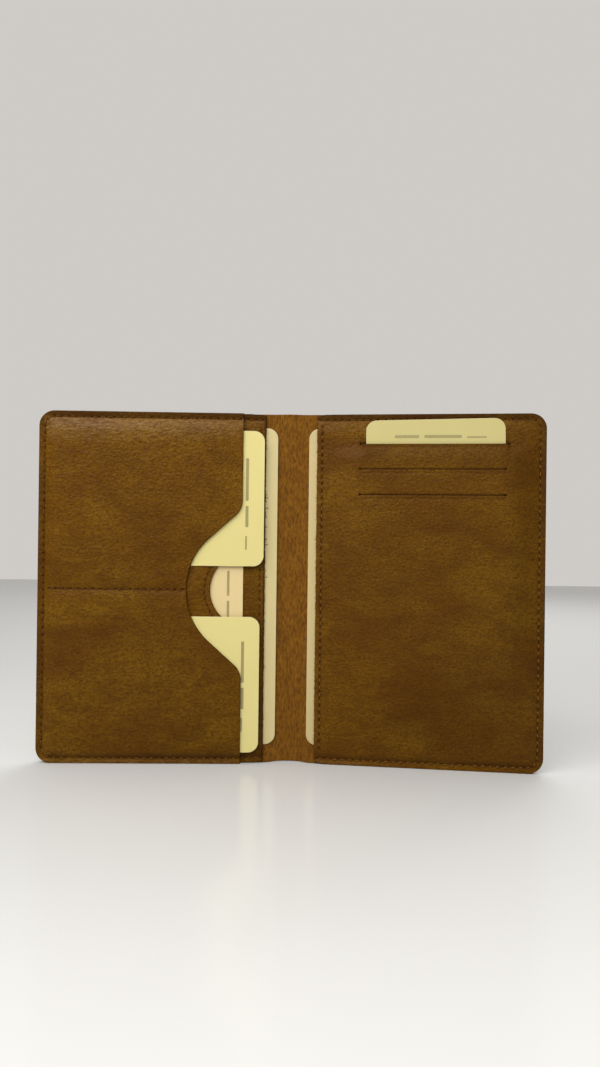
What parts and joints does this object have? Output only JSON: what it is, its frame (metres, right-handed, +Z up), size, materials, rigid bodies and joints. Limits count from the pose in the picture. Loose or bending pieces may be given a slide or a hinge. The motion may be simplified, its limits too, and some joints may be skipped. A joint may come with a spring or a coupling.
{
  "type": "passport holder wallet",
  "caption": "Bifold leather passport wallet standing open, with card pockets, thumb notches, punched card slits and wide passport pockets on both leaves.",
  "frame": {"origin": "middle of the bounding box, on the surface the wallet stands on", "axes": "+X to the right across the open wallet, +Y backwards away from the pockets, +Z up along the creases"},
  "size_m": [0.1994, 0.0144, 0.14],
  "materials": {
    "leather": "satin",
    "flesh_side": "matte",
    "thread": "matte",
    "textile": "matte",
    "yellow_card": "satin",
    "cream_card": "satin",
    "straw_card": "satin"
  },
  "bodies": {
    "left_leaf": {"left_cover": "leather", "left_backing_panel": "leather", "id_pocket_panel": "leather", "card_pocket_panel": "leather", "left_front_thread": "thread", "left_back_thread": "thread", "divider_thread": "thread", "id_notch_thread": "thread", "backing_edge_thread": "thread"},
    "spine": {"spine_panel": "flesh_side"},
    "right_leaf": {"right_cover": "leather", "slot_lining": "textile", "slot_panel": "leather", "slot_pocket_upper": "textile", "slot_pocket_middle": "textile", "slot_pocket_lower": "textile", "right_front_thread": "thread", "right_back_thread": "thread", "slot_panel_edge_thread": "thread"},
    "upper_card": {"upper_card": "yellow_card"},
    "lower_card": {"lower_card": "yellow_card"},
    "id_card": {"id_card": "cream_card"},
    "left_insert": {"left_passport_insert": "straw_card"},
    "right_insert": {"right_passport_insert": "straw_card"},
    "slot_card": {"slot_card": "yellow_card"}
  },
  "joints": [
    {"name": "left_crease", "type": "hinge", "parent": "left_leaf", "child": "spine", "pos_m": [-0.00426, 0.00678, 0.07], "axis": [0, 0, 1], "range_deg": [-88.2, 1.8]},
    {"name": "right_crease", "type": "hinge", "parent": "spine", "child": "right_leaf", "pos_m": [0.00474, 0.00678, 0.07], "axis": [0, 0, 1], "range_deg": [-83.4, 6.6]},
    {"name": "upper_card_slide", "type": "slide", "parent": "left_leaf", "child": "upper_card", "axis": [0.9995, 0.0314, 0], "range_m": [0, 0.02]},
    {"name": "lower_card_slide", "type": "slide", "parent": "left_leaf", "child": "lower_card", "axis": [0.9995, 0.0314, 0], "range_m": [0, 0.02]},
    {"name": "id_card_slide", "type": "slide", "parent": "left_leaf", "child": "id_card", "axis": [0.9995, 0.0314, 0], "range_m": [0, 0.025]},
    {"name": "left_insert_slide", "type": "slide", "parent": "left_leaf", "child": "left_insert", "axis": [0.9995, 0.0314, 0], "range_m": [0, 0.0055]},
    {"name": "right_insert_slide", "type": "slide", "parent": "right_leaf", "child": "right_insert", "axis": [-0.9934, 0.1149, 0], "range_m": [0, 0.0065]},
    {"name": "slot_card_slide", "type": "slide", "parent": "right_leaf", "child": "slot_card", "axis": [0, 0, 1], "range_m": [0, 0.076]}
  ]
}
